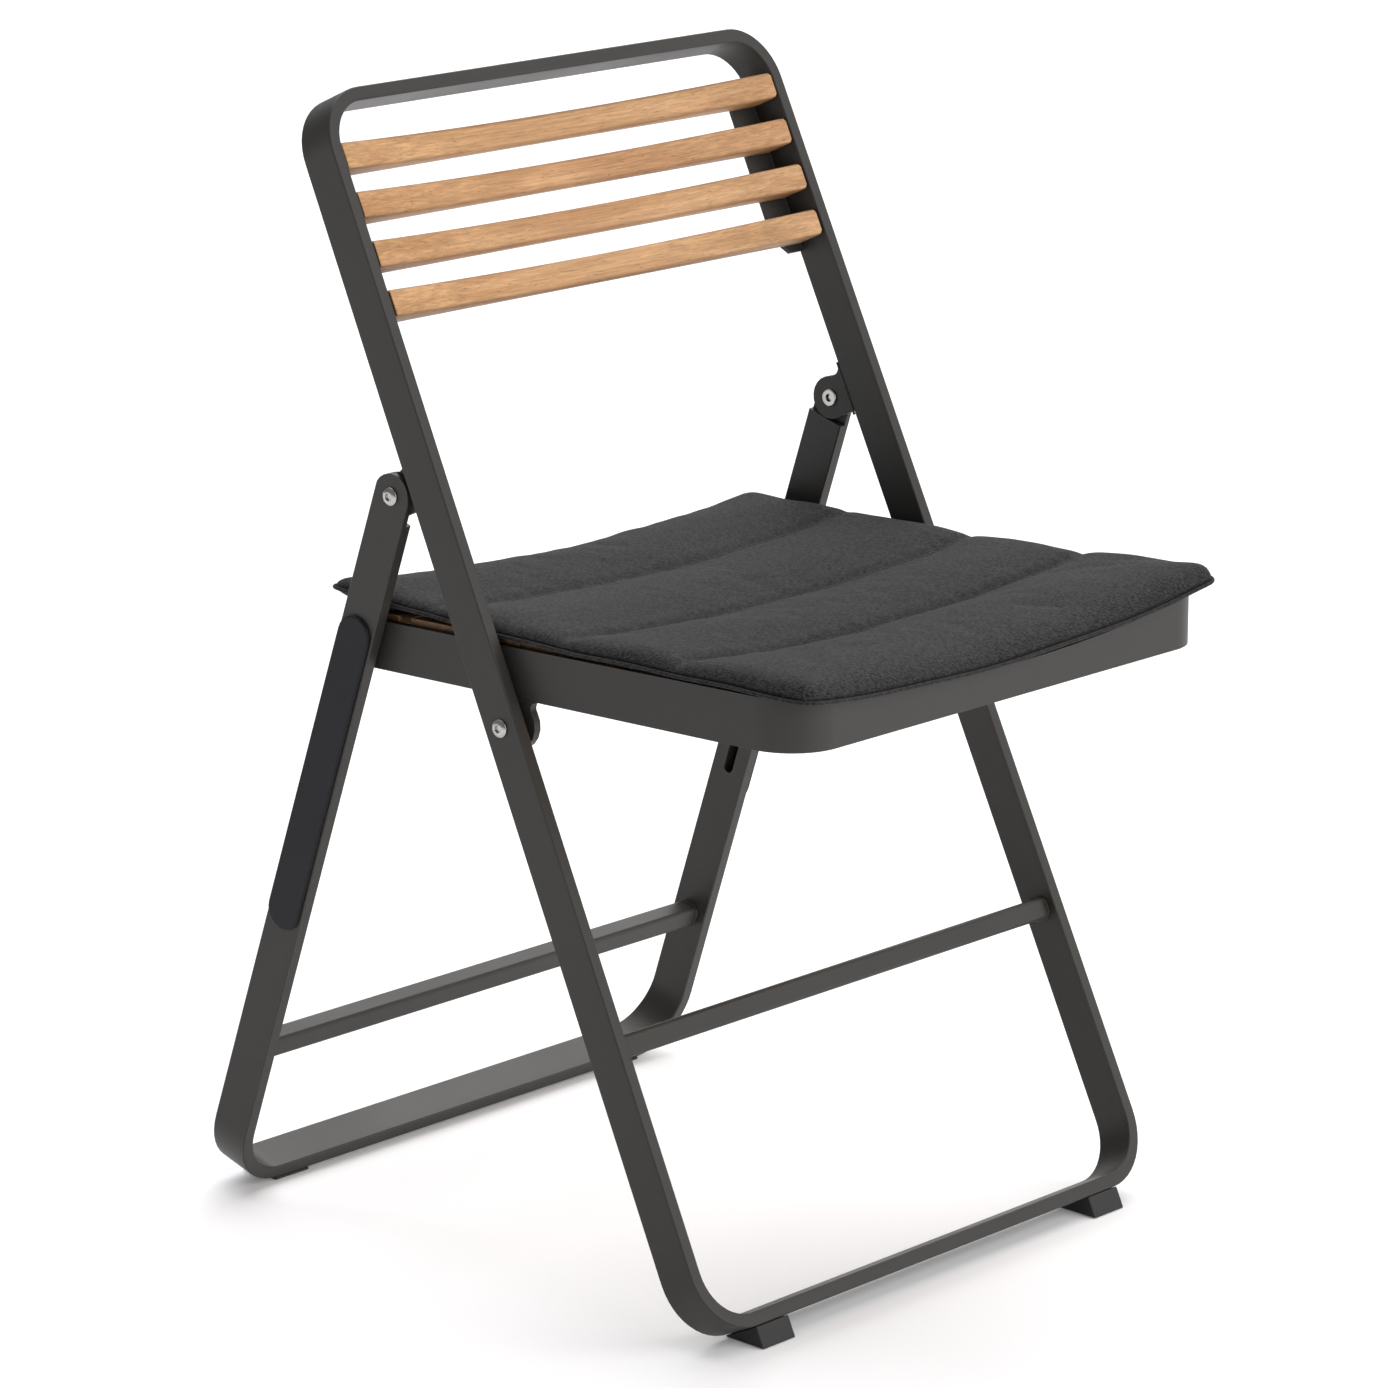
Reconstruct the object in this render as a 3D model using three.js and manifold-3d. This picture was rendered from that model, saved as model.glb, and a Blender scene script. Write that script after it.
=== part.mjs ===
// A folding garden chair. The front frame is one closed loop of flat bar, from the floor to the top of
// the back. The rear frame is a U of flat bar hinged behind it, and the slatted seat with its pad swings
// up between the legs, led by two pins that run in slots in the rear legs.
// Millimetres. X runs across the chair, +Y to its back and +Z up. The origin is on the floor, in the
// middle of the chair. Left and right are the sitter's, so left is +X.

import * as THREE from "three";
import Module from "manifold-3d";
import { mergeVertices } from "three/addons/utils/BufferGeometryUtils.js";

const wasm = await Module();
wasm.setup();

const degrees = THREE.MathUtils.degToRad;

// Clearances
const touchGap = 0.3; // between pieces that are welded, screwed or laid together
const boreGap = 0.3; // around a pin in its hole
const slotGap = 0.2; // on each side of a guide in the slot
const slotEndGap = 0.3; // past the guide at each end of the slot
const seatSideGap = 3.6; // between a seat rail and the legs at the hinge
const nestGap = 1.8; // between the two frames when the chair is folded

// Front frame, measured along its slope from the floor end
const width = 494.3;
const topNarrowing = 21.9;
const frontLength = 890;
const frontLean = degrees(26.77);
const frontBar = 10;
const frontDepth = 30;
const frontBottomRadius = 47;
const frontTopRadius = 42;
const edgeBreak = 0.8;

// Rear frame
const rearLean = degrees(16.24);
const rearBar = 10;
const rearDepth = 32;
const rearInset = 2.8; // how far its bottom corners stay inside the front frame's, on each side
const rearRadius = 47;

// Frame hinge
const hingeUp = 614.5; // along the front frame
const lugRadius = 16;
const lugFillet = 8;
const shoulderGap = 0.5;

// Stretchers
const stretcherSize = 16;
const stretcherWall = 1.5;
const stretcherRadius = 3;
const frontStretcherUp = 208;
const rearStretcherUp = 112.5; // above the rear frame's bottom edge

// Feet
const footWidth = 34;
const frontFootInset = 45.5; // from the frame's bottom corner to the foot's outer end
const rearFootInset = 46.3;
const frontFootThin = 1.3;
const rearFootThin = 2.2;

// Seat
const seatPivotUp = 439; // along the front frame
const seatTilt = degrees(2.12);
const seatPivotBack = 250.4; // behind the seat's front face
const seatPivotDrop = 18.05; // below the rails
const railBar = 6;
const railHeight = 36.6;
const railRearHeight = 34.5;
const seatRadius = 38;
const seatLugRadius = 17.5;
const seatLugFillet = 5;
const scoopDepth = 13;
const scoopMargin = 21; // from a rail's outer face to where the front bar starts to dip
const crossbarDepth = 16;
const crossbarHeight = 6;
const crossbarFromPin = 3;

// Seat slats
const seatSlatCount = 8;
const seatSlatThickness = 12;
const seatSlatGap = 9;
const seatSlatEdge = 1.5;
const seatSlatRise = 2.4; // how far their ends stand above the rails
const ledgeWidth = 16;
const ledgeThickness = 3;

// Seat pad
const padFrontOverhang = 4;
const padRearOverhang = 11;
const padThickness = 16;
const padRadius = 22;
const padLift = 1.8; // its lower edge above the slat ends
const padCrown = 4; // how much flatter its top is than its underside

// Slot in the rear legs, and what runs in it
const slotPinDrop = 115.1; // below the hinge when the chair is open
const guideDiameter = 8;
const guideFlange = 15;
const guideFlangeThickness = 2.8;
const slotPinDiameter = 5;
const coverWidth = 30;
const coverThickness = 2.5;
const coverOverlap = 17.2; // past the slot at its upper end
const coverTail = 24; // past the slot at its lower end
const coverEdge = 1.2;

// Pivot screws: a low domed head outside, in a flanged barrel pushed in from the inside
const headDiameter = 13;
const headHeight = 2.5;
const headRim = 0.8;
const socketAcrossCorners = 5.8;
const socketDepth = 1.5;
const barrelDiameter = 8;
const barrelFlange = 13;
const barrelFlangeThickness = 1.2;
const screwDiameter = 5;
const spacerDiameter = 16;

// Back slats
const backSlatCount = 4;
const topSlatDrop = 36.5; // from the top of the frame to the first slat
const backSlatPitch = 35.4;
const backSlatHeight = 19.5;
const backSlatEndThickness = 26;
const backSlatFaceInset = 0.5; // behind the frame's front edge, at its ends
const backSlatBow = 16;
const backSlatEdge = 3;
const backSlatSideGap = 0.6;
const bracketWidth = 24;
const bracketThickness = 3.5;
const bracketChamfer = 13;
const bracketBottomMargin = 5;

// Slat screws
const slatScrewHead = 8;
const slatScrewHeadHeight = 2.2;
const slatScrewShank = 4;
const slatScrewBite = 10; // into the slat
const slatScrewInset = 11; // from the slat's end

const roundSides = 20;
const cornerSteps = 6;

// Colours and finishes
const finishes = {
  coating: { color: 0x4b4a46, roughness: 0.55, metalness: 0.1 },
  wood: { color: 0xc9995f, roughness: 0.6, metalness: 0 },
  fabric: { color: 0x3b3b3d, roughness: 0.95, metalness: 0 },
  steel: { color: 0xb5b5b0, roughness: 0.3, metalness: 1 },
  rubber: { color: 0x151515, roughness: 0.8, metalness: 0 },
  cover: { color: 0x22252b, roughness: 0.5, metalness: 0 },
  nylon: { color: 0x1c1c1e, roughness: 0.6, metalness: 0 },
};
const materials = {};
for (const [finish, look] of Object.entries(finishes)) {
  materials[finish] = new THREE.MeshStandardMaterial(look);
}

// What follows from the driving dimensions

const frontTaper = -topNarrowing / 2 / frontLength;
const frontOrigin = new THREE.Vector2(0, frontFootThin + frontDepth / 2 * Math.sin(frontLean));
const hingeBack = frontDepth / 2 + nestGap + rearDepth / 2;
const hinge = frontPoint(hingeUp, -hingeBack);
const seatPivot = frontPoint(seatPivotUp, 0);
const hingeHalfWidth = frontHalfWidth(hingeUp);
const rearLegLength = (hinge.y - rearFootThin - rearDepth / 2 * Math.sin(rearLean)) / Math.cos(rearLean);
const rearTaper = (width / 2 - rearInset - hingeHalfWidth) / rearLegLength;
const seatHalfWidth = hingeHalfWidth - frontBar - seatSideGap;
const scoopHalfWidth = seatHalfWidth - scoopMargin;

// The seat's own axes in the side view: back along the seat, and up from it.
const seatBack = new THREE.Vector2(Math.cos(seatTilt), -Math.sin(seatTilt));
const seatUp = new THREE.Vector2(Math.sin(seatTilt), Math.cos(seatTilt));
const seatOrigin = seatPivot.clone()
  .addScaledVector(seatBack, -seatPivotBack)
  .addScaledVector(seatUp, seatPivotDrop);

// The slot pin, in the seat's axes and at both ends of its way down the rear leg.
const slotPinOpen = new THREE.Vector2(
  hinge.x + slotPinDrop * Math.sin(rearLean),
  hinge.y - slotPinDrop * Math.cos(rearLean),
);
const slotPinArm = slotPinOpen.distanceTo(seatPivot);
const slotPinBack = slotPinOpen.clone().sub(seatOrigin).dot(seatBack);
const slotPinFoldedDrop = hingeUp - seatPivotUp + Math.sqrt(slotPinArm ** 2 - hingeBack ** 2);
const railCentre = railRearHeight / 2;

// A point of the front frame in the side view: along its slope, and forward of its middle.
function frontPoint(along, forward) {
  return new THREE.Vector2(
    frontOrigin.x + along * Math.sin(frontLean) - forward * Math.cos(frontLean),
    frontOrigin.y + along * Math.cos(frontLean) + forward * Math.sin(frontLean),
  );
}

// Half the front frame's outer width at a height along its slope.
function frontHalfWidth(along) {
  return width / 2 + frontTaper * along;
}

// Half the rear frame's outer width at a distance below the hinge.
function rearHalfWidth(below) {
  return hingeHalfWidth + rearTaper * below;
}

// Solids

// Shares the corners that meet and drops the triangles that this leaves with no area.
function sharedCorners(geometry) {
  const bare = geometry.clone();
  bare.deleteAttribute("normal");
  bare.deleteAttribute("uv");
  const merged = mergeVertices(bare, 1e-4);
  const corners = merged.index.array;
  const kept = [];
  for (let start = 0; start < corners.length; start += 3) {
    const [a, b, c] = corners.slice(start, start + 3);
    if (a !== b && b !== c && c !== a) kept.push(a, b, c);
  }
  merged.setIndex(kept);
  return merged;
}

function toSolid(geometry) {
  const merged = sharedCorners(geometry);
  return new wasm.Manifold(new wasm.Mesh({
    numProp: 3,
    vertProperties: new Float32Array(merged.getAttribute("position").array),
    triVerts: new Uint32Array(merged.index.array),
  }));
}

function toGeometry(solid) {
  const mesh = solid.getMesh();
  const geometry = new THREE.BufferGeometry();
  geometry.setAttribute("position", new THREE.BufferAttribute(mesh.vertProperties, 3));
  geometry.setIndex(new THREE.BufferAttribute(mesh.triVerts, 1));
  return geometry;
}

function cut(geometry, tools) {
  return toGeometry(tools.reduce((rest, tool) => rest.subtract(toSolid(tool)), toSolid(geometry)));
}

function common(geometry, other) {
  return toGeometry(toSolid(geometry).intersect(toSolid(other)));
}

// The same piece for the other side of the chair.
function mirrored(geometry) {
  const copy = sharedCorners(geometry);
  copy.scale(-1, 1, 1);
  const corners = Array.from(copy.index.array);
  for (let start = 0; start < corners.length; start += 3) {
    [corners[start + 1], corners[start + 2]] = [corners[start + 2], corners[start + 1]];
  }
  copy.setIndex(corners);
  return copy;
}

function extrude(shape, depth, edge = 0, edgeSteps = 1) {
  const geometry = new THREE.ExtrudeGeometry(shape, {
    depth: depth - 2 * edge,
    curveSegments: cornerSteps,
    bevelEnabled: edge > 0,
    bevelThickness: edge,
    bevelSize: edge,
    bevelOffset: -edge,
    bevelSegments: edgeSteps,
  });
  geometry.translate(0, 0, edge);
  return geometry;
}

// A side-view outline, given as (Y, Z) points, extruded across the chair from one X to another.
function across(shape, fromX, toX, edge = 0, edgeSteps = 1) {
  const geometry = extrude(shape, toX - fromX, edge, edgeSteps);
  const turn = new THREE.Matrix4().makeBasis(
    new THREE.Vector3(0, 1, 0),
    new THREE.Vector3(0, 0, 1),
    new THREE.Vector3(1, 0, 0),
  );
  geometry.applyMatrix4(turn);
  geometry.translate(fromX, 0, 0);
  return geometry;
}

// A turned piece on the X axis, from (X, radius) pairs that start and end on the axis or meet again.
function turned(profile, sides = roundSides) {
  const points = profile.map(([x, radius]) => new THREE.Vector2(radius, x));
  const geometry = new THREE.LatheGeometry(points, sides);
  geometry.rotateZ(-Math.PI / 2);
  return geometry;
}

function rod(diameter, fromX, toX, y, z, sides = roundSides) {
  const geometry = new THREE.CylinderGeometry(diameter / 2, diameter / 2, toX - fromX, sides);
  geometry.rotateZ(-Math.PI / 2);
  geometry.translate((fromX + toX) / 2, y, z);
  return geometry;
}

function block(fromX, toX, fromY, toY, fromZ, toZ) {
  const geometry = new THREE.BoxGeometry(toX - fromX, toY - fromY, toZ - fromZ);
  geometry.translate((fromX + toX) / 2, (fromY + toY) / 2, (fromZ + toZ) / 2);
  return geometry;
}

function polygon(points) {
  return new THREE.Shape(points.map(([a, b]) => new THREE.Vector2(a, b)));
}

// A flat slot or pad outline with full round ends, between two centres on one line.
function stadium(fromY, toY, z, radius) {
  const shape = new THREE.Shape();
  shape.absarc(toY, z, radius, -Math.PI / 2, Math.PI / 2);
  shape.absarc(fromY, z, radius, Math.PI / 2, 3 * Math.PI / 2);
  return shape;
}

// The two lower corners of a frame that widens or narrows upward by a taper on each side.
function traceLowerCorners(path, sideAt, taper, bottom, radius) {
  const slant = Math.atan(taper);
  const centreX = sideAt(bottom + radius) - radius / Math.cos(slant);
  path.absarc(-centreX, bottom + radius, radius, Math.PI + slant, 3 * Math.PI / 2);
  path.absarc(centreX, bottom + radius, radius, -Math.PI / 2, -slant);
}

function traceUpperCorners(path, sideAt, taper, top, radius) {
  const slant = Math.atan(taper);
  const centreX = sideAt(top - radius) - radius / Math.cos(slant);
  path.absarc(centreX, top - radius, radius, -slant, Math.PI / 2);
  path.absarc(-centreX, top - radius, radius, Math.PI / 2, Math.PI + slant);
}

// Front frame: its own Y runs up the slope and its own Z points forward.

function frontLoop(path, inset) {
  const slant = Math.atan(frontTaper);
  const sideAt = (along) => frontHalfWidth(along) - inset / Math.cos(slant);
  traceLowerCorners(path, sideAt, frontTaper, inset, frontBottomRadius - inset);
  traceUpperCorners(path, sideAt, frontTaper, frontLength - inset, frontTopRadius - inset);
  path.closePath();
  return path;
}

function makeFrontFrame() {
  const outline = frontLoop(new THREE.Shape(), 0);
  outline.holes.push(frontLoop(new THREE.Path(), frontBar));
  const loop = extrude(outline, frontDepth, edgeBreak);
  loop.translate(0, 0, -frontDepth / 2);
  return cut(loop, [rod(barrelDiameter + 2 * boreGap, -width, width, seatPivotUp, 0)]);
}

function makeStretcher(halfSpan, along) {
  const half = stretcherSize / 2;
  const outline = roundedSquare(new THREE.Shape(), half, stretcherRadius);
  outline.holes.push(roundedSquare(new THREE.Path(), half - stretcherWall, stretcherRadius - stretcherWall));
  const tube = across(outline, -halfSpan, halfSpan);
  tube.translate(0, along, 0);
  return tube;
}

function roundedSquare(path, half, radius) {
  const centre = half - radius;
  path.absarc(centre, centre, radius, 0, Math.PI / 2);
  path.absarc(-centre, centre, radius, Math.PI / 2, Math.PI);
  path.absarc(-centre, -centre, radius, Math.PI, 3 * Math.PI / 2);
  path.absarc(centre, -centre, radius, 3 * Math.PI / 2, 2 * Math.PI);
  path.closePath();
  return path;
}

// The plate behind the leg that the rear leg's tongue laps, with a fillet above it.
function makeHingeLug() {
  const edge = -frontDepth / 2 - touchGap;
  const filletDrop = hingeBack + edge - lugFillet;
  const filletAlong = Math.sqrt((lugRadius + lugFillet) ** 2 - filletDrop ** 2);
  const meeting = Math.atan2(filletDrop, filletAlong);
  const outline = new THREE.Shape();
  outline.moveTo(hingeUp - lugRadius, edge);
  outline.lineTo(hingeUp - lugRadius, -hingeBack);
  outline.absarc(hingeUp, -hingeBack, lugRadius, Math.PI, 2 * Math.PI + meeting);
  outline.absarc(hingeUp + filletAlong, edge - lugFillet, lugFillet, Math.PI + meeting, Math.PI / 2, true);
  const innerFace = hingeHalfWidth - frontBar;
  const plate = across(outline, innerFace, hingeHalfWidth - rearBar / 2 - touchGap / 2);
  return cut(plate, [rod(barrelDiameter + 2 * boreGap, 0, width, hingeUp, -hingeBack)]);
}

// Back slats

const slatEndX = frontHalfWidth(frontLength - topSlatDrop) - frontBar - backSlatSideGap;
const slatFaceZ = frontDepth / 2 - backSlatFaceInset;
const slatBackZ = slatFaceZ - backSlatEndThickness;
const slatScrewX = slatEndX - slatScrewInset;

function backSlatTop(number) {
  return frontLength - topSlatDrop - (number - 1) * backSlatPitch;
}

// The radius of an arc that rises by a bow over half its span.
function bowRadius(halfSpan, bow) {
  return (halfSpan ** 2 + bow ** 2) / (2 * bow);
}

// The slat in plan: a hollow face and a straight back that lies on the brackets.
function makeBackSlat(number) {
  const faceRadius = bowRadius(slatEndX, backSlatBow);
  const faceCentreZ = slatFaceZ - backSlatBow + faceRadius;
  const faceHalfAngle = Math.asin(slatEndX / faceRadius);
  // Plan points are (X, backward), so that the slat extrudes up the slope.
  const outline = new THREE.Shape();
  outline.moveTo(slatEndX, -slatFaceZ);
  outline.lineTo(slatEndX, -slatBackZ);
  outline.lineTo(-slatEndX, -slatBackZ);
  outline.lineTo(-slatEndX, -slatFaceZ);
  outline.absarc(0, -faceCentreZ, faceRadius, Math.PI / 2 + faceHalfAngle, Math.PI / 2 - faceHalfAngle, true);
  const slat = extrude(outline, backSlatHeight, backSlatEdge, 2);
  slat.rotateX(-Math.PI / 2);
  const top = backSlatTop(number);
  slat.translate(0, top - backSlatHeight, 0);
  const middle = top - backSlatHeight / 2;
  const pilots = [-1, 1].map((side) => {
    const pilot = new THREE.CylinderGeometry(
      slatScrewShank / 2 + boreGap,
      slatScrewShank / 2 + boreGap,
      2 * (slatScrewBite + touchGap),
      12,
    );
    pilot.rotateX(Math.PI / 2);
    pilot.translate(side * slatScrewX, middle, slatBackZ);
    return pilot;
  });
  return cut(slat, pilots);
}

function makeSlatBracket() {
  const top = frontLength - frontTopRadius - touchGap;
  const bottom = backSlatTop(backSlatCount) - backSlatHeight - bracketBottomMargin;
  const legAt = (along) => frontHalfWidth(along) - frontBar / Math.cos(Math.atan(frontTaper)) - touchGap;
  const innerX = slatEndX - bracketWidth;
  const outline = polygon([
    [legAt(bottom), bottom],
    [legAt(top), top],
    [innerX + bracketChamfer, top],
    [innerX, top - bracketChamfer],
    [innerX, bottom + bracketChamfer],
    [innerX + bracketChamfer, bottom],
  ]);
  const plate = extrude(outline, bracketThickness);
  const face = slatBackZ - touchGap;
  plate.translate(0, 0, face - bracketThickness);
  const holes = [];
  for (let number = 1; number <= backSlatCount; number += 1) {
    const hole = new THREE.CylinderGeometry(
      slatScrewShank / 2 + boreGap,
      slatScrewShank / 2 + boreGap,
      4 * bracketThickness,
      12,
    );
    hole.rotateX(Math.PI / 2);
    hole.translate(slatScrewX, backSlatTop(number) - backSlatHeight / 2, face);
    holes.push(hole);
  }
  return cut(plate, holes);
}

// A pan-head screw from behind, its head on the bracket.
function makeSlatScrew(number) {
  const headFace = slatBackZ - bracketThickness - 2 * touchGap;
  const tip = slatBackZ + slatScrewBite;
  const screw = turned([
    [-(tip), 0],
    [-(tip), slatScrewShank / 2],
    [-headFace, slatScrewShank / 2],
    [-headFace, slatScrewHead / 2],
    [-headFace + slatScrewHeadHeight * 0.6, slatScrewHead / 2 * 0.92],
    [-headFace + slatScrewHeadHeight, slatScrewHead / 2 * 0.5],
    [-headFace + slatScrewHeadHeight, 0],
  ], 12);
  screw.rotateY(Math.PI / 2);
  screw.translate(slatScrewX, backSlatTop(number) - backSlatHeight / 2, 0);
  return screw;
}

// Feet, in the chair's own side view

function makeFrontFoot() {
  const [frontTop, rearTop] = [1, -1].map((end) => frontPoint(-touchGap, end * frontDepth / 2));
  const toeRun = frontTop.y * Math.tan(frontLean);
  const outer = width / 2 - frontFootInset;
  const outline = polygon([
    [frontTop.x - toeRun, 0],
    [rearTop.x, 0],
    [rearTop.x, rearTop.y],
    [frontTop.x, frontTop.y],
  ]);
  return across(outline, outer - footWidth, outer);
}

function makeRearFoot() {
  const below = rearLegLength + touchGap;
  const [frontTop, rearTop] = [1, -1].map((end) => new THREE.Vector2(
    hinge.x + below * Math.sin(rearLean) - end * rearDepth / 2 * Math.cos(rearLean),
    hinge.y - below * Math.cos(rearLean) - end * rearDepth / 2 * Math.sin(rearLean),
  ));
  const heelRun = rearTop.y * Math.tan(rearLean);
  const outer = rearHalfWidth(rearLegLength) - rearFootInset;
  const outline = polygon([
    [frontTop.x, 0],
    [rearTop.x + heelRun, 0],
    [rearTop.x, rearTop.y],
    [frontTop.x, frontTop.y],
  ]);
  return across(outline, outer - footWidth, outer);
}

// Rear frame: its own origin is on the hinge, its Y runs up the legs and its Z points forward.

function makeRearFrame() {
  const slant = Math.atan(-rearTaper);
  const bottom = -rearLegLength;
  const above = rearDepth / 2;
  const sideAt = (inset) => (along) => rearHalfWidth(-along) - inset / Math.cos(slant);
  const outline = new THREE.Shape();
  traceLowerCorners(outline, sideAt(0), -rearTaper, bottom, rearRadius);
  outline.lineTo(sideAt(0)(above), above);
  outline.lineTo(sideAt(rearBar)(above), above);
  const innerRadius = rearRadius - rearBar;
  const innerCentreX = sideAt(rearBar)(bottom + rearRadius) - innerRadius / Math.cos(slant);
  const centreY = bottom + rearRadius;
  outline.absarc(innerCentreX, centreY, innerRadius, -slant, -Math.PI / 2, true);
  outline.absarc(-innerCentreX, centreY, innerRadius, 3 * Math.PI / 2, Math.PI + slant, true);
  outline.lineTo(-sideAt(rearBar)(above), above);
  outline.lineTo(-sideAt(0)(above), above);
  const bars = extrude(outline, rearDepth, edgeBreak);
  bars.translate(0, 0, -rearDepth / 2);
  const side = new THREE.Shape();
  side.absarc(0, 0, rearDepth / 2, -Math.PI / 2, Math.PI / 2);
  side.lineTo(bottom - 1, rearDepth / 2);
  side.lineTo(bottom - 1, -rearDepth / 2);
  const rounded = common(bars, across(side, -width, width));
  // Above the shoulder only the outer half of each leg is left, which laps the lug.
  const shoulder = -(lugRadius + shoulderGap);
  const tongueFace = hingeHalfWidth - rearBar / 2 + touchGap / 2;
  const lap = block(-tongueFace, tongueFace, shoulder, rearDepth, -rearDepth, rearDepth);
  const slotRadius = guideDiameter / 2 + slotGap;
  const slot = stadium(-slotPinFoldedDrop - slotEndGap, -slotPinDrop + slotEndGap, 0, slotRadius);
  return cut(rounded, [
    lap,
    rod(barrelDiameter + 2 * boreGap, -width, width, 0, 0),
    across(slot, -width, width),
  ]);
}

// The pad over the slot, on the outside of the leg.
function makeSlotCover() {
  const upper = -slotPinDrop + guideDiameter / 2 + coverOverlap - coverWidth / 2;
  const lower = -slotPinFoldedDrop - guideDiameter / 2 - coverTail + coverWidth / 2;
  const pad = across(stadium(lower, upper, 0, coverWidth / 2), 0, coverThickness, coverEdge, 2);
  pad.rotateZ(Math.atan(rearTaper));
  pad.translate(hingeHalfWidth + touchGap, 0, 0);
  return pad;
}

// Pins: their own origin is on the hinge, as the rear frame's.

function makeSlotPin() {
  const pin = rod(slotPinDiameter, seatHalfWidth + touchGap, rearHalfWidth(slotPinDrop) - touchGap, 0, 0);
  pin.translate(0, -slotPinDrop, 0);
  return pin;
}

// A flanged plastic bush that turns on the pin and slides in the slot.
function makeSlotGuide() {
  const bore = slotPinDiameter / 2 + boreGap;
  const flangeIn = seatHalfWidth + touchGap;
  const guide = turned([
    [flangeIn, bore],
    [flangeIn, guideFlange / 2],
    [flangeIn + guideFlangeThickness, guideFlange / 2],
    [flangeIn + guideFlangeThickness, guideDiameter / 2],
    [rearHalfWidth(slotPinDrop) - touchGap, guideDiameter / 2],
    [rearHalfWidth(slotPinDrop) - touchGap, bore],
    [flangeIn, bore],
  ]);
  guide.translate(0, -slotPinDrop, 0);
  return guide;
}

// Pivot screws and barrels, along X through a stack from its inner to its outer face.

function makePivotScrew(innerX, outerX) {
  const seat = outerX + touchGap;
  const headTop = seat + headHeight;
  const screw = turned([
    [innerX + touchGap, 0],
    [innerX + touchGap, screwDiameter / 2],
    [seat, screwDiameter / 2],
    [seat, headDiameter / 2],
    [seat + headRim, headDiameter / 2],
    [headTop - 0.6, headDiameter / 2 * 0.82],
    [headTop, headDiameter / 2 * 0.55],
    [headTop, 0],
  ]);
  const socket = rod(socketAcrossCorners, headTop - socketDepth, headTop + 1, 0, 0, 6);
  return cut(screw, [socket]);
}

function makePivotBarrel(innerX, outerX) {
  const bore = screwDiameter / 2 + boreGap;
  const flangeFace = innerX - touchGap;
  return turned([
    [flangeFace - barrelFlangeThickness, bore],
    [flangeFace - barrelFlangeThickness, barrelFlange / 2 - 0.5],
    [flangeFace - barrelFlangeThickness + 0.5, barrelFlange / 2],
    [flangeFace, barrelFlange / 2],
    [flangeFace, barrelDiameter / 2],
    [outerX - touchGap, barrelDiameter / 2],
    [outerX - touchGap, bore],
    [flangeFace - barrelFlangeThickness, bore],
  ]);
}

function makeSpacer(fromX, toX) {
  const bore = barrelDiameter / 2 + boreGap;
  return turned([
    [fromX, bore],
    [fromX, spacerDiameter / 2],
    [toX, spacerDiameter / 2],
    [toX, bore],
    [fromX, bore],
  ]);
}

// Seat: its own origin is at the front, in the middle, on the rails' lower edge. Its Y runs to the back.

// The seat's plan between its rails, closed at the back by a straight line.
function traceSeatPlan(path, inset, rearY) {
  const radius = seatRadius - inset;
  const half = seatHalfWidth - inset;
  path.moveTo(half, rearY);
  path.lineTo(-half, rearY);
  path.absarc(-half + radius, inset + radius, radius, Math.PI, 3 * Math.PI / 2);
  path.absarc(half - radius, inset + radius, radius, -Math.PI / 2, 0);
  path.closePath();
  return path;
}

function makeSeatFrame() {
  const rearEnd = slotPinBack + railCentre;
  const outer = extrude(traceSeatPlan(new THREE.Shape(), 0, rearEnd), railHeight);
  const inner = extrude(traceSeatPlan(new THREE.Shape(), railBar, rearEnd + railBar), 3 * railHeight);
  inner.translate(0, 0, -railHeight);
  const side = new THREE.Shape();
  side.absarc(slotPinBack, railCentre, railCentre, -Math.PI / 2, Math.PI / 2);
  side.lineTo(0, railHeight);
  side.lineTo(-railBar, railHeight);
  side.lineTo(-railBar, 0);
  const rails = common(cut(outer, [inner]), across(side, -width, width));
  // The front bar's upper edge dips towards the middle.
  const radius = bowRadius(scoopHalfWidth, scoopDepth);
  const halfAngle = Math.asin(scoopHalfWidth / radius);
  const scoopOutline = new THREE.Shape();
  scoopOutline.absarc(
    0, railHeight - scoopDepth + radius, radius,
    -Math.PI / 2 - halfAngle, -Math.PI / 2 + halfAngle,
  );
  scoopOutline.lineTo(scoopHalfWidth, 2 * railHeight);
  scoopOutline.lineTo(-scoopHalfWidth, 2 * railHeight);
  const scoop = extrude(scoopOutline, 2 * seatRadius);
  scoop.rotateX(Math.PI / 2);
  scoop.translate(0, 2 * seatRadius - railBar, 0);
  return cut(rails, [scoop]);
}

// The ear under each rail that the seat turns on.
function makeSeatLug() {
  const edge = -touchGap;
  const filletRise = seatPivotDrop + edge - seatLugFillet;
  const filletBack = Math.sqrt((seatLugRadius + seatLugFillet) ** 2 - filletRise ** 2);
  const meeting = Math.atan2(filletRise, filletBack);
  const outline = new THREE.Shape();
  outline.absarc(
    seatPivotBack - filletBack, edge - seatLugFillet, seatLugFillet, Math.PI / 2, -meeting, true,
  );
  outline.absarc(seatPivotBack, -seatPivotDrop, seatLugRadius, Math.PI - meeting, 2 * Math.PI + meeting);
  outline.absarc(
    seatPivotBack + filletBack, edge - seatLugFillet, seatLugFillet, Math.PI + meeting, Math.PI / 2, true,
  );
  const plate = across(outline, seatHalfWidth - railBar, seatHalfWidth);
  return cut(plate, [rod(barrelDiameter + 2 * boreGap, 0, width, seatPivotBack, -seatPivotDrop)]);
}

const slatEnd = seatHalfWidth - railBar - touchGap;
const seatSlatRadius = bowRadius(slatEnd, scoopDepth);
const seatSlatTop = railHeight + seatSlatRise;

// The height of the slats' upper face, or of one that lies deeper, at a distance from the middle.
function slatHeight(x, depth = 0) {
  const middle = seatSlatTop - scoopDepth + seatSlatRadius;
  return middle - Math.sqrt((seatSlatRadius + depth) ** 2 - x ** 2);
}

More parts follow.
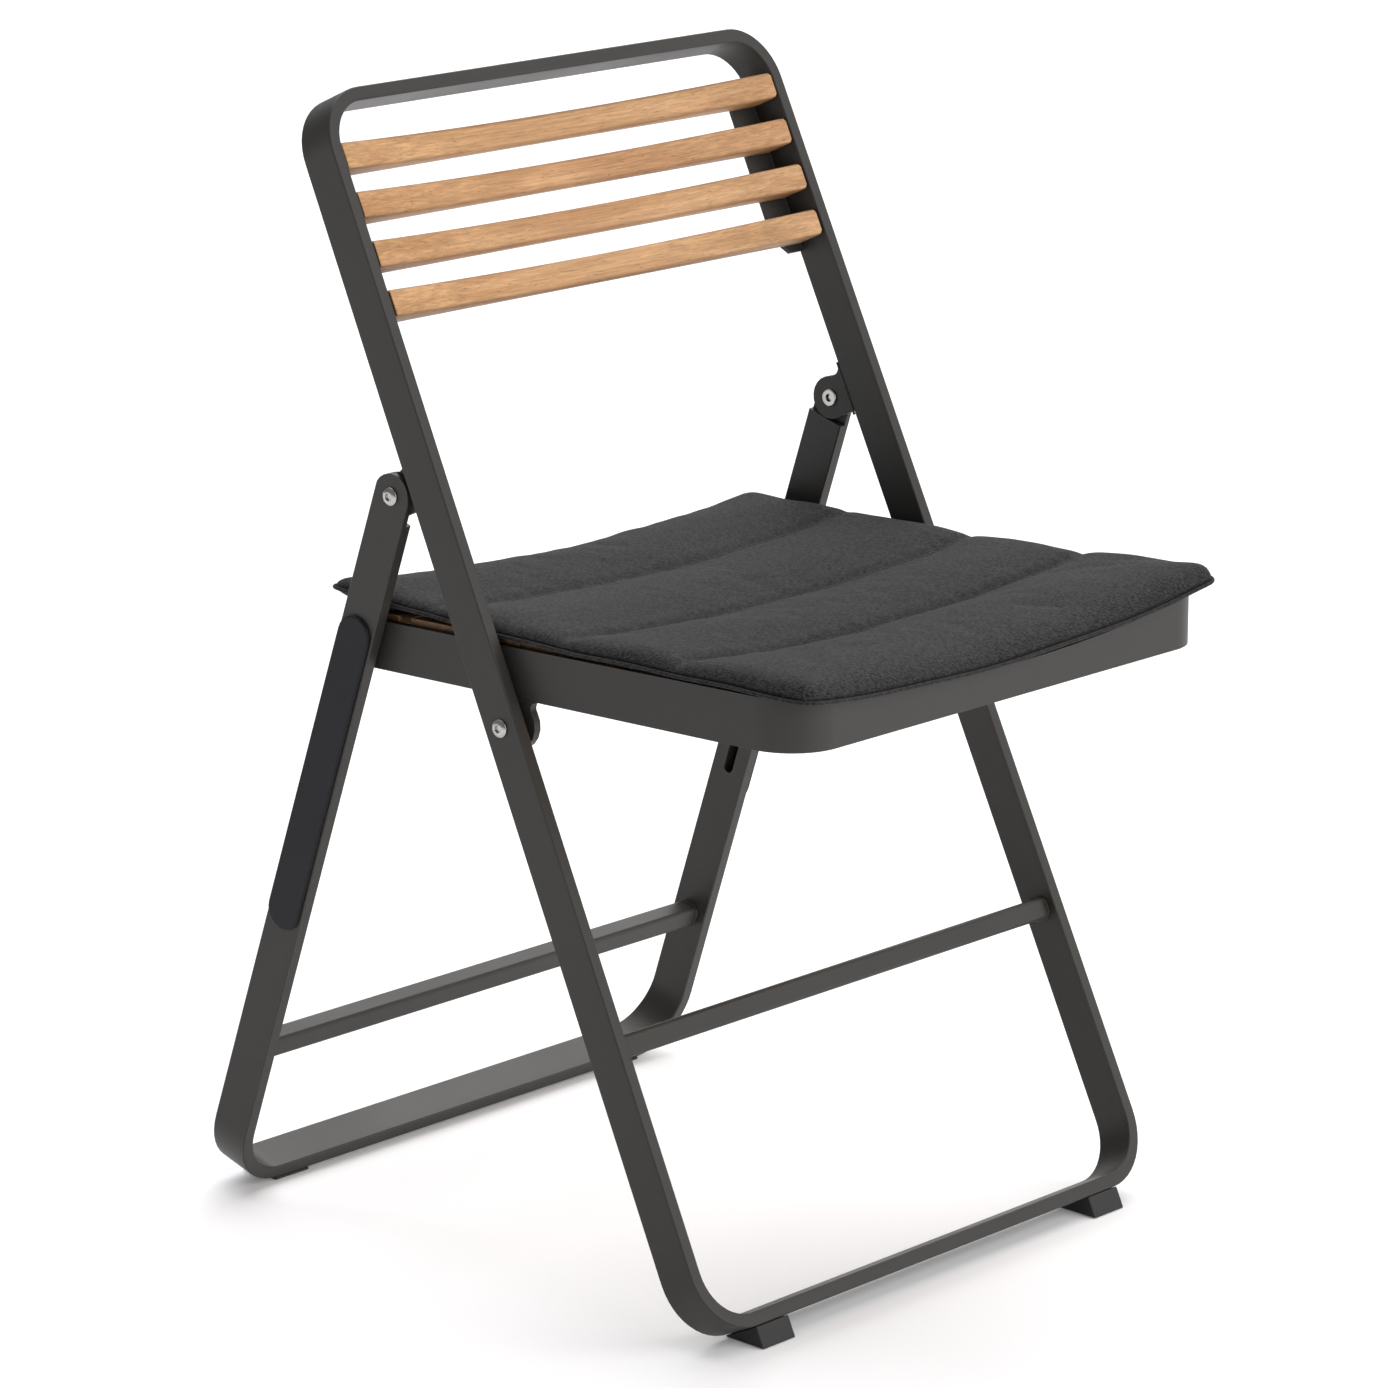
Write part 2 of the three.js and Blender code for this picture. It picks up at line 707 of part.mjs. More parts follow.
function makeSeatSlat(number) {
  const firstY = railBar + touchGap + 1;
  const lastY = slotPinBack + railCentre - touchGap;
  const pitch = (lastY - firstY + seatSlatGap) / seatSlatCount;
  const startY = firstY + (number - 1) * pitch;
  const centreZ = seatSlatTop - scoopDepth + seatSlatRadius;
  const outerRadius = seatSlatRadius + seatSlatThickness;
  const upperAngle = Math.asin(slatEnd / seatSlatRadius);
  const lowerAngle = Math.asin(slatEnd / outerRadius);
  // The section is bowed in the (X, Z) view, and runs back by the slat's width.
  const outline = new THREE.Shape();
  outline.absarc(0, centreZ, outerRadius, -Math.PI / 2 - lowerAngle, -Math.PI / 2 + lowerAngle);
  outline.absarc(0, centreZ, seatSlatRadius, -Math.PI / 2 + upperAngle, -Math.PI / 2 - upperAngle, true);
  const slat = extrude(outline, pitch - seatSlatGap, seatSlatEdge);
  slat.rotateX(Math.PI / 2);
  slat.translate(0, startY + pitch - seatSlatGap, 0);
  if (startY > seatRadius) return slat;
  const plan = extrude(traceSeatPlan(new THREE.Shape(), railBar + 2 * touchGap, lastY), 4 * railHeight);
  return common(slat, plan);
}

function makeSlatLedge() {
  const top = slatHeight(slatEnd - ledgeWidth, seatSlatThickness) - touchGap;
  const rear = slotPinBack - crossbarFromPin - crossbarDepth - touchGap;
  return block(slatEnd - ledgeWidth, slatEnd, seatRadius, rear, top - ledgeThickness, top);
}

function makeSeatCrossbar() {
  const rear = slotPinBack - crossbarFromPin;
  return block(-slatEnd, slatEnd, rear - crossbarDepth, rear, touchGap, touchGap + crossbarHeight);
}

// The pad: hollow across the seat as the slats are, and a little fuller on top.
function makePad() {
  const half = seatHalfWidth;
  const bottomEdge = seatSlatTop + padLift;
  const lowerRadius = bowRadius(half, scoopDepth);
  const upperRadius = bowRadius(half, scoopDepth - padCrown);
  const lowerAngle = Math.asin(half / lowerRadius);
  const upperAngle = Math.asin(half / upperRadius);
  const upperMiddle = bottomEdge + padThickness - (scoopDepth - padCrown);
  const outline = new THREE.Shape();
  outline.absarc(
    0, bottomEdge - scoopDepth + lowerRadius, lowerRadius,
    -Math.PI / 2 - lowerAngle, -Math.PI / 2 + lowerAngle,
  );
  outline.absarc(
    0, upperMiddle + upperRadius, upperRadius,
    -Math.PI / 2 + upperAngle, -Math.PI / 2 - upperAngle, true,
  );
  const front = -padFrontOverhang;
  const rear = slotPinBack + railCentre + padRearOverhang;
  const body = extrude(outline, rear - front);
  body.rotateX(Math.PI / 2);
  body.translate(0, rear, 0);
  const plan = new THREE.Shape();
  plan.absarc(half - padRadius, rear - padRadius, padRadius, 0, Math.PI / 2);
  plan.absarc(-half + padRadius, rear - padRadius, padRadius, Math.PI / 2, Math.PI);
  plan.absarc(-half + padRadius, front + padRadius, padRadius, Math.PI, 3 * Math.PI / 2);
  plan.absarc(half - padRadius, front + padRadius, padRadius, 3 * Math.PI / 2, 2 * Math.PI);
  return common(body, extrude(plan, 4 * railHeight));
}

// Assembly

function place(parent, name, geometry, material) {
  const mesh = new THREE.Mesh(sharedCorners(geometry), material);
  mesh.geometry.computeVertexNormals();
  mesh.name = name;
  parent.add(mesh);
}

function placePair(parent, name, geometry, material) {
  place(parent, `${name}_left`, geometry, material);
  place(parent, `${name}_right`, mirrored(geometry), material);
}

// A group in the side view at a point, turned about X.
function sideGroup(parent, point, angle) {
  const group = new THREE.Group();
  group.position.set(0, point.x, point.y);
  group.rotation.x = angle;
  parent.add(group);
  return group;
}

const chair = new THREE.Group();
const front = sideGroup(chair, frontOrigin, Math.PI / 2 - frontLean);
const rear = sideGroup(chair, hinge, Math.PI / 2 + rearLean);
const seat = sideGroup(chair, seatOrigin, -seatTilt);
const hingeStack = sideGroup(chair, hinge, 0);
const seatStack = sideGroup(chair, seatPivot, 0);

place(front, "front_frame", makeFrontFrame(), materials.coating);
const frontSpan = frontHalfWidth(frontStretcherUp + stretcherSize / 2) - frontBar - 2 * touchGap;
place(front, "front_stretcher", makeStretcher(frontSpan, frontStretcherUp), materials.coating);
placePair(front, "hinge_lug", makeHingeLug(), materials.coating);
placePair(front, "slat_bracket", makeSlatBracket(), materials.coating);
for (let number = 1; number <= backSlatCount; number += 1) {
  place(front, `back_slat_${number}`, makeBackSlat(number), materials.wood);
  placePair(front, `back_screw_${number}`, makeSlatScrew(number), materials.steel);
}
placePair(chair, "front_foot", makeFrontFoot(), materials.rubber);

place(rear, "rear_frame", makeRearFrame(), materials.coating);
const rearSpan = rearHalfWidth(rearLegLength - rearStretcherUp - stretcherSize) - rearBar - 2 * touchGap;
place(rear, "rear_stretcher", makeStretcher(rearSpan, rearStretcherUp - rearLegLength), materials.coating);
placePair(rear, "slot_cover", makeSlotCover(), materials.cover);
placePair(rear, "slot_pin", makeSlotPin(), materials.steel);
placePair(rear, "slot_guide", makeSlotGuide(), materials.nylon);
placePair(chair, "rear_foot", makeRearFoot(), materials.rubber);

const lugFace = hingeHalfWidth - frontBar;
placePair(hingeStack, "hinge_screw", makePivotScrew(lugFace, hingeHalfWidth), materials.steel);
placePair(hingeStack, "hinge_barrel", makePivotBarrel(lugFace, hingeHalfWidth), materials.steel);

const seatLugFace = seatHalfWidth - railBar;
const legOuter = frontHalfWidth(seatPivotUp);
const legInner = legOuter - frontBar;
placePair(seatStack, "seat_pivot_screw", makePivotScrew(seatLugFace, legOuter), materials.steel);
placePair(seatStack, "seat_pivot_barrel", makePivotBarrel(seatLugFace, legOuter), materials.steel);
const spacer = makeSpacer(seatHalfWidth + touchGap, legInner - 2 * touchGap);
placePair(seatStack, "seat_pivot_spacer", spacer, materials.nylon);

place(seat, "seat_frame", makeSeatFrame(), materials.coating);
placePair(seat, "seat_lug", makeSeatLug(), materials.coating);
place(seat, "seat_crossbar", makeSeatCrossbar(), materials.coating);
placePair(seat, "slat_ledge", makeSlatLedge(), materials.coating);
for (let number = 1; number <= seatSlatCount; number += 1) {
  place(seat, `seat_slat_${number}`, makeSeatSlat(number), materials.wood);
}
place(seat, "seat_pad", makePad(), materials.fabric);

// The origin goes on the floor, in the middle of the chair from front to back.
const extent = new THREE.Box3().setFromObject(chair);
chair.position.y = -(extent.min.y + extent.max.y) / 2;

export default chair;
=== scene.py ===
from math import cos, pi, radians, sin, tan

import bmesh
import bpy
import numpy as np
from mathutils import Matrix, Vector, noise


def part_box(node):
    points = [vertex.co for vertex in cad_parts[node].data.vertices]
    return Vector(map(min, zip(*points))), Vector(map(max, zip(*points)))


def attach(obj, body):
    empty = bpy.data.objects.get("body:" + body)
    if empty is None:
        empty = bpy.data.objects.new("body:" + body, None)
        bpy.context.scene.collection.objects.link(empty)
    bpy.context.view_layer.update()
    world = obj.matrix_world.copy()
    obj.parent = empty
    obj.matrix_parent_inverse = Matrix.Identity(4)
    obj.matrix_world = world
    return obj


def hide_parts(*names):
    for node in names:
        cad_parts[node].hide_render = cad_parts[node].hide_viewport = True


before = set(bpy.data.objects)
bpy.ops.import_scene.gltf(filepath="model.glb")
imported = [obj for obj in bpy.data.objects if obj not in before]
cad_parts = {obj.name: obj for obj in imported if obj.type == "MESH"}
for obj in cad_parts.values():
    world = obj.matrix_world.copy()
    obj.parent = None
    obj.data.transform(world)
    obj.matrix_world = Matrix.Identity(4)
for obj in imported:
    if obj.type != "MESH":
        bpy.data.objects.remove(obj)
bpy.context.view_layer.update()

scene = bpy.context.scene
scene.view_settings.view_transform = "Standard"


# Camera
# A long lens, low and well to the chair's right-hand side, held with a slight roll.

camera_azimuth = radians(-49.465)
camera_elevation = radians(15.252)
camera_roll = radians(1.834)
camera_place = Vector((-3.2554, -2.7642, 1.5403))
lens_length = 161.87  # in millimetres, on a sensor 36 mm wide

across_view = Vector((cos(camera_azimuth), sin(camera_azimuth), 0))
back_of_view = Vector((
    sin(camera_azimuth) * cos(camera_elevation),
    -cos(camera_azimuth) * cos(camera_elevation),
    sin(camera_elevation),
))
up_in_view = back_of_view.cross(across_view)
rolled_across = across_view * cos(camera_roll) + up_in_view * sin(camera_roll)
rolled_up = up_in_view * cos(camera_roll) - across_view * sin(camera_roll)

camera = bpy.data.objects.new("camera", bpy.data.cameras.new("camera"))
camera.data.sensor_width = 36
camera.data.lens = lens_length
camera.data.clip_end = 200
turn = Matrix((rolled_across, rolled_up, back_of_view)).transposed().to_4x4()
camera.matrix_world = Matrix.Translation(camera_place) @ turn
scene.collection.objects.link(camera)
scene.camera = camera


# Front frame, its stretcher, hinge lugs and slat brackets
# Flat bar bent to a closed loop, a square tube and laser-cut plates, welded together and then powder
# coated in one go: a fine satin skin with a faint orange peel, rubbed a little lighter along the edges.

SIDES = ("left", "right")


def new_group(name, inputs, outputs):
    """An empty shader node group, with its input and output nodes."""
    group = bpy.data.node_groups.new(name, "ShaderNodeTree")
    for label, kind, value in inputs:
        socket = group.interface.new_socket(label, in_out="INPUT", socket_type="NodeSocket" + kind)
        socket.default_value = value
    for label, kind in outputs:
        group.interface.new_socket(label, in_out="OUTPUT", socket_type="NodeSocket" + kind)
    return group, add(group, "NodeGroupInput"), add(group, "NodeGroupOutput")


def add(tree, kind, **values):
    """Adds a node and sets its attributes, then its inputs: names with a leading i_ are input sockets."""
    node = tree.nodes.new(kind)
    for name, value in values.items():
        if name.startswith("i_"):
            node.inputs[name[2:].replace("_", " ")].default_value = value
        else:
            setattr(node, name, value)
    return node


def mix_colour(tree, factor, first, second, blend="MIX"):
    """A colour mix; each of the three is a socket or a plain value."""
    node = add(tree, "ShaderNodeMix", data_type="RGBA", blend_type=blend)
    for place, value in ((0, factor), (6, first), (7, second)):
        if isinstance(value, bpy.types.NodeSocket):
            tree.links.new(value, node.inputs[place])
        else:
            node.inputs[place].default_value = value
    return node.outputs[2]


def maths(tree, operation, first, second=0.0):
    node = add(tree, "ShaderNodeMath", operation=operation)
    for place, value in enumerate((first, second)):
        if isinstance(value, bpy.types.NodeSocket):
            tree.links.new(value, node.inputs[place])
        else:
            node.inputs[place].default_value = value
    return node.outputs[0]


def spread(tree, value, low, high, to_low, to_high):
    """Maps a value from one range to another, clamped."""
    node = add(tree, "ShaderNodeMapRange")
    for place, number in enumerate((low, high, to_low, to_high), start=1):
        node.inputs[place].default_value = number
    tree.links.new(value, node.inputs[0])
    return node.outputs[0]


# Surface noise: broad and fine, in the piece's own space, for any finish.
surface_noise, group_in, group_out = new_group(
    "surface_noise",
    [("Broad Scale", "Float", 9.0), ("Fine Scale", "Float", 900.0)],
    [("Broad", "Float"), ("Fine", "Float")],
)
place = add(surface_noise, "ShaderNodeTexCoord")
for scale, output, detail in (("Broad Scale", "Broad", 4.0), ("Fine Scale", "Fine", 2.0)):
    grains = add(surface_noise, "ShaderNodeTexNoise", i_Detail=detail)
    surface_noise.links.new(place.outputs["Object"], grains.inputs["Vector"])
    surface_noise.links.new(group_in.outputs[scale], grains.inputs["Scale"])
    surface_noise.links.new(grains.outputs["Fac"], group_out.inputs[output])

# Edge wear: how far the surface turns within a small radius, broken up by noise.
edge_wear, group_in, group_out = new_group(
    "edge_wear", [("Radius", "Float", 0.001), ("Patch Scale", "Float", 60.0)], [("Mask", "Float")]
)
rounded = add(edge_wear, "ShaderNodeBevel", samples=6)
edge_wear.links.new(group_in.outputs["Radius"], rounded.inputs["Radius"])
facing = add(edge_wear, "ShaderNodeNewGeometry")
likeness = add(edge_wear, "ShaderNodeVectorMath", operation="DOT_PRODUCT")
edge_wear.links.new(rounded.outputs["Normal"], likeness.inputs[0])
edge_wear.links.new(facing.outputs["Normal"], likeness.inputs[1])
edge = spread(edge_wear, likeness.outputs["Value"], 0.99, 0.8, 0.0, 1.0)
place = add(edge_wear, "ShaderNodeTexCoord")
patches = add(edge_wear, "ShaderNodeTexNoise", i_Detail=5.0)
edge_wear.links.new(place.outputs["Object"], patches.inputs["Vector"])
edge_wear.links.new(group_in.outputs["Patch Scale"], patches.inputs["Scale"])
broken = spread(edge_wear, patches.outputs["Fac"], 0.35, 0.65, 0.35, 1.0)
edge_wear.links.new(maths(edge_wear, "MULTIPLY", edge, broken), group_out.inputs["Mask"])


def start_material(name, **values):
    """A material with a Principled BSDF whose plain sockets are set here, by name."""
    material = bpy.data.materials.new(name)
    material.use_nodes = True
    tree = material.node_tree
    shader = tree.nodes["Principled BSDF"]
    for label, value in values.items():
        shader.inputs[label.replace("_", " ")].default_value = value
    return material, tree, shader


def place_group(tree, group, **values):
    node = add(tree, "ShaderNodeGroup", node_tree=group)
    for label, value in values.items():
        node.inputs[label.replace("_", " ")].default_value = value
    return node


def bump(tree, shader, height, distance, strength=1.0):
    node = add(tree, "ShaderNodeBump", i_Distance=distance, i_Strength=strength)
    tree.links.new(height, node.inputs["Height"])
    tree.links.new(node.outputs["Normal"], shader.inputs["Normal"])


def worn_finish(name, dark, light, worn, roughness, fine_scale, peel, wear, **values):
    """A painted or moulded skin: two close tones, fine texture and lighter, smoother edges."""
    material, tree, shader = start_material(name, **values)
    grains = place_group(tree, surface_noise, Fine_Scale=fine_scale)
    edges = place_group(tree, edge_wear, Radius=wear)
    tone = spread(tree, grains.outputs["Broad"], 0.35, 0.65, 0.0, 1.0)
    colour = mix_colour(tree, tone, (*dark, 1), (*light, 1))
    fine_tone = spread(tree, grains.outputs["Fine"], 0.3, 0.7, 0.0, 0.35)
    colour = mix_colour(tree, fine_tone, colour, (*light, 1))
    rubbed = maths(tree, "MULTIPLY", edges.outputs["Mask"], 0.6)
    colour = mix_colour(tree, rubbed, colour, (*worn, 1))
    tree.links.new(colour, shader.inputs["Base Color"])
    gloss = spread(tree, grains.outputs["Broad"], 0.3, 0.7, roughness - 0.04, roughness + 0.05)
    gloss = maths(tree, "SUBTRACT", gloss, maths(tree, "MULTIPLY", edges.outputs["Mask"], 0.07))
    tree.links.new(gloss, shader.inputs["Roughness"])
    bump(tree, shader, grains.outputs["Fine"], peel)
    return material


coating = worn_finish(
    "powder_coating", dark=(0.0270, 0.0252, 0.0226), light=(0.0355, 0.0333, 0.0300),
    worn=(0.080, 0.077, 0.071), roughness=0.44, fine_scale=1500, peel=0.00006, wear=0.0012,
    Specular_IOR_Level=0.30,
)


def dress(name, material, edge=0.0004, steps=2, limit=38):
    """Gives a CAD node its material, rounds its sharp edges and smooths its shading."""
    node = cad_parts[name]
    node.data.materials.clear()
    node.data.materials.append(material)
    bpy.context.view_layer.objects.active = node
    if node.data.has_custom_normals:
        bpy.ops.mesh.customdata_custom_splitnormals_clear()
    node.data.shade_smooth()
    node.modifiers.new("joined", "WELD").merge_threshold = 0.00001
    rounding = node.modifiers.new("rounding", "BEVEL")
    rounding.width = edge
    rounding.segments = steps
    rounding.limit_method = "ANGLE"
    rounding.angle_limit = radians(limit)
    rounding.use_clamp_overlap = True
    shading = node.modifiers.new("shading", "WEIGHTED_NORMAL")
    shading.keep_sharp = False
    return node


def both(stem):
    return [f"{stem}_{side}" for side in SIDES]


for name in ["front_frame", "front_stretcher", *both("hinge_lug"), *both("slat_bracket")]:
    dress(name, coating)


# Weld seams of the front frame
# A small ground bead where each stretcher end, lug and bracket meets the bar, under the same coating.

front_lean = radians(26.77)
front_up = Vector((0, sin(front_lean), cos(front_lean)))
front_forward = Vector((0, -cos(front_lean), sin(front_lean)))
front_half_depth = 0.015
stretcher_half = 0.008
bead = 0.0011


def new_piece(name, mesh):
    """Turns a mesh under construction into an object in the scene."""
    data = bpy.data.meshes.new(name)
    mesh.to_mesh(data)
    mesh.free()
    piece = bpy.data.objects.new(name, data)
    scene.collection.objects.link(piece)
    return piece


def skin(mesh, rings, closed=False):
    """Joins each ring of corners to the next, and the last to the first if the row is closed."""
    following_rings = rings[1:] + rings[:1] if closed else rings[1:]
    for ring, following in zip(rings, following_rings):
        for side in range(len(ring)):
            after = (side + 1) % len(ring)
            mesh.faces.new((ring[side], ring[after], following[after], following[side]))


def tube(name, points, radius, closed=False, sides=8, ripple=0.0):
    """A round tube along points, with its ends closed; ripple varies its radius like laid weld."""
    points = [Vector(point) for point in points]
    count = len(points)
    mesh = bmesh.new()
    rings = []
    reference = None
    for index, point in enumerate(points):
        if closed:
            ahead, behind = points[(index + 1) % count], points[index - 1]
        else:
            ahead, behind = points[min(index + 1, count - 1)], points[max(index - 1, 0)]
        along = (ahead - behind).normalized()
        if reference is None:
            reference = along.orthogonal().normalized()
        reference = (reference - along * reference.dot(along)).normalized()
        other = along.cross(reference)
        size = radius * (1 + ripple * sin(index * 2.1))
        ring = []
        for side in range(sides):
            angle = 2 * pi * side / sides
            ring.append(mesh.verts.new(point + (reference * cos(angle) + other * sin(angle)) * size))
        rings.append(ring)
    skin(mesh, rings, closed)
    if not closed:
        mesh.faces.new(list(reversed(rings[0])))
        mesh.faces.new(rings[-1])
    bmesh.ops.recalc_face_normals(mesh, faces=mesh.faces)
    piece = new_piece(name, mesh)
    piece.data.shade_smooth()
    return piece


def fit(piece, material, body):
    """Gives a new piece its material, and makes it ride on a body."""
    piece.data.materials.append(material)
    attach(piece, body)
    return piece


def stepped(start, end, step=0.0012):
    """Evenly spaced points on a straight line."""
    count = max(2, round((end - start).length / step))
    return [start.lerp(end, index / count) for index in range(count + 1)]


def weld_stretcher(node, body, up, forward):
    """A bead around both ends of a square tube, where it meets the legs."""
    low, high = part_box(node)
    middle = (low + high) / 2
    half = stretcher_half
    turn_in = 0.003
    corners = ((1, 1), (-1, 1), (-1, -1), (1, -1))
    for side, end in zip(SIDES, (high.x, low.x)):
        points = []
        for index, (rise, reach) in enumerate(corners):
            next_rise, next_reach = corners[(index + 1) % 4]
            start = up * rise * half + forward * reach * half
            stop = up * next_rise * half + forward * next_reach * half
            way = (stop - start).normalized()
            points += stepped(start + way * turn_in, stop - way * turn_in)
        centre = Vector((end, middle.y, middle.z))
        points = [centre + point for point in points]
        seam = tube(f"{node}_weld_{side}", points, bead, closed=True, ripple=0.12)
        fit(seam, coating, body)


weld_stretcher("front_stretcher", "front", front_up, front_forward)

frame_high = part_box("front_frame")[1]
edge_break = 0.0008
flat_half = front_half_depth - edge_break
frame_top = Vector((
    0,
    frame_high.y - flat_half * cos(front_lean),
    frame_high.z - flat_half * sin(front_lean),
))


def on_front_frame(x, height, forward):
    """The point of the front frame's plane at a height above the floor, and forward of its middle."""
    base = (height - frame_top.z - forward * sin(front_lean)) / cos(front_lean)
    return Vector((x, 0, 0)) + frame_top + front_up * base + front_forward * forward


lug_seam_forward = -front_half_depth - 0.00015
lug_corner = 0.007
bracket_seams = (("front", -0.0117), ("back", -0.0150))
bracket_seam_end = 0.003
leg_narrowing = 0.0014  # of each leg, over the bracket's height

for side, sign in zip(SIDES, (1, -1)):
    low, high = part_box(f"hinge_lug_{side}")
    inner = min(abs(low.x), abs(high.x)) * sign
    start = on_front_frame(inner, low.z + lug_corner, lug_seam_forward)
    end = on_front_frame(inner, high.z, lug_seam_forward)
    seam = tube(f"hinge_lug_weld_{side}", stepped(start, end), bead * 0.8, ripple=0.1)
    fit(seam, coating, "front")
    low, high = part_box(f"slat_bracket_{side}")
    outer = max(abs(low.x), abs(high.x))
    for label, forward in bracket_seams:
        start = on_front_frame(outer * sign, low.z + bracket_seam_end, forward)
        end = on_front_frame((outer - leg_narrowing) * sign, high.z - bracket_seam_end, forward)
        seam = tube(f"bracket_weld_{label}_{side}", stepped(start, end), bead, ripple=0.1)
        fit(seam, coating, "front")


# Back slats
# Four slats of light hardwood with a hollowed face and a straight back, rounded and oiled. Their
# ends sit on the brackets, face flush with the frame; end grain is darker, and undersides carry painted
# shade.

wood_grain_and_shade, group_in, group_out = new_group(
    "wood_grain_and_shade",
    [("Shift", "Vector", (0, 0, 0)), ("Tone", "Float", 0.5), ("Edge Way", "Vector", (0, 0.45, 0.893))],
    [("Color", "Color"), ("Height", "Float"), ("Roughness", "Float")],
)
place = add(wood_grain_and_shade, "ShaderNodeTexCoord")
moved = add(wood_grain_and_shade, "ShaderNodeVectorMath", operation="ADD")
wood_grain_and_shade.links.new(place.outputs["Object"], moved.inputs[0])
wood_grain_and_shade.links.new(group_in.outputs["Shift"], moved.inputs[1])


def grain_layer(lengthwise, crosswise, detail, distortion=0.0):
    """Noise drawn out along the slat: lengthwise and crosswise are features per metre."""
    stretch = add(wood_grain_and_shade, "ShaderNodeVectorMath", operation="MULTIPLY")
    stretch.inputs[1].default_value = (lengthwise, crosswise, crosswise)
    wood_grain_and_shade.links.new(moved.outputs[0], stretch.inputs[0])
    grains = add(wood_grain_and_shade, "ShaderNodeTexNoise", i_Scale=1.0, i_Detail=detail, i_Distortion=distortion)
    wood_grain_and_shade.links.new(stretch.outputs[0], grains.inputs["Vector"])
    return grains.outputs["Fac"]


growth = grain_layer(3.0, 110, 3.0, 0.5)
fibre = grain_layer(16, 750, 4.0)
fleck = grain_layer(60, 420, 4.0, 0.8)
pores = grain_layer(85, 1700, 1.0)
blush = grain_layer(7, 22, 3.0, 0.4)

pale = (0.565, 0.318, 0.142, 1)
honey = (0.430, 0.225, 0.090, 1)
ruddy = (0.385, 0.170, 0.064, 1)
colour = mix_colour(wood_grain_and_shade, spread(wood_grain_and_shade, growth, 0.36, 0.66, 0.0, 1.0), pale, honey)
reddened = maths(
    wood_grain_and_shade, "MULTIPLY", spread(wood_grain_and_shade, blush, 0.42, 0.72, 0.15, 1.0), group_in.outputs["Tone"]
)
colour = mix_colour(wood_grain_and_shade, reddened, colour, ruddy)
fibre_shade = spread(wood_grain_and_shade, fibre, 0.34, 0.66, 0.80, 1.12)
fleck_shade = spread(wood_grain_and_shade, fleck, 0.34, 0.68, 0.90, 1.06)
shade = maths(wood_grain_and_shade, "MULTIPLY", fibre_shade, fleck_shade)
pore_mask = spread(wood_grain_and_shade, pores, 0.33, 0.27, 0.0, 0.5)
shade = maths(wood_grain_and_shade, "MULTIPLY", shade, maths(wood_grain_and_shade, "SUBTRACT", 1.0, pore_mask))
ends = add(wood_grain_and_shade, "ShaderNodeSeparateXYZ")
wood_grain_and_shade.links.new(place.outputs["Normal"], ends.inputs[0])
end_grain = spread(wood_grain_and_shade, maths(wood_grain_and_shade, "ABSOLUTE", ends.outputs["X"]), 0.7, 0.95, 1.0, 0.45)
shade = maths(wood_grain_and_shade, "MULTIPLY", shade, end_grain)
# Painted shade: faces turned against Edge Way (the back slats' undersides, the seat slats' forward faces)
# are darkened to stand in for shadow.
edge_turn = add(wood_grain_and_shade, "ShaderNodeVectorMath", operation="DOT_PRODUCT")
wood_grain_and_shade.links.new(place.outputs["Normal"], edge_turn.inputs[0])
wood_grain_and_shade.links.new(group_in.outputs["Edge Way"], edge_turn.inputs[1])
painted_side_shade = spread(wood_grain_and_shade, edge_turn.outputs["Value"], -0.85, -0.25, 0.80, 1.0)
shade = maths(wood_grain_and_shade, "MULTIPLY", shade, painted_side_shade)
grey = add(wood_grain_and_shade, "ShaderNodeCombineColor")
for channel in range(3):
    wood_grain_and_shade.links.new(shade, grey.inputs[channel])
colour = mix_colour(wood_grain_and_shade, 1.0, colour, grey.outputs[0], "MULTIPLY")
wood_grain_and_shade.links.new(colour, group_out.inputs["Color"])
relief = maths(wood_grain_and_shade, "SUBTRACT", maths(wood_grain_and_shade, "MULTIPLY", fibre, 0.5), pore_mask)
wood_grain_and_shade.links.new(relief, group_out.inputs["Height"])
wood_grain_and_shade.links.new(spread(wood_grain_and_shade, growth, 0.3, 0.7, 0.5, 0.64), group_out.inputs["Roughness"])


def slat_wood(name, number, tone, edge_way):
    """Each slat is cut from another place in the board, and is a little redder or paler."""
    material, tree, shader = start_material(name, Coat_Weight=0.04, Coat_Roughness=0.35)
    shift = (0.37 * number, 0.13 * number, 0.29 * number)
    grain = place_group(tree, wood_grain_and_shade, Tone=tone, Shift=shift, Edge_Way=edge_way)
    tree.links.new(grain.outputs["Roughness"], shader.inputs["Roughness"])
    edges = place_group(tree, edge_wear, Radius=0.0015, Patch_Scale=120)
    rubbed = maths(tree, "MULTIPLY", edges.outputs["Mask"], 0.16)
    colour = mix_colour(tree, rubbed, grain.outputs["Color"], (0.26, 0.125, 0.052, 1))
    tree.links.new(colour, shader.inputs["Base Color"])
    bump(tree, shader, grain.outputs["Height"], 0.00022)
    return material


for number, tone in ((1, 0.15), (2, 0.75), (3, 0.35), (4, 0.1)):
    dress(f"back_slat_{number}", slat_wood(f"slat_wood_{number}", number, tone, front_up), 0.0010, 3, 50)


# Back slat screws
# Small stainless pan heads, driven from behind through the brackets.

steel, tree, shader = start_material("stainless_steel", Metallic=1.0)
grains = place_group(tree, surface_noise, Broad_Scale=120, Fine_Scale=2600)
scratched = spread(tree, grains.outputs["Fine"], 0.35, 0.65, 0.0, 1.0)
colour = mix_colour(tree, scratched, (0.34, 0.33, 0.315, 1), (0.50, 0.49, 0.47, 1))
tree.links.new(colour, shader.inputs["Base Color"])
tree.links.new(spread(tree, grains.outputs["Broad"], 0.3, 0.7, 0.20, 0.36), shader.inputs["Roughness"])
bump(tree, shader, grains.outputs["Fine"], 0.00002)

for number in range(1, 5):
    for name in both(f"back_screw_{number}"):
        dress(name, steel, 0.0003, 2, 30)


# Feet
# Black moulded rubber wedges pushed on under the bottom bars, so that the chair stands level.

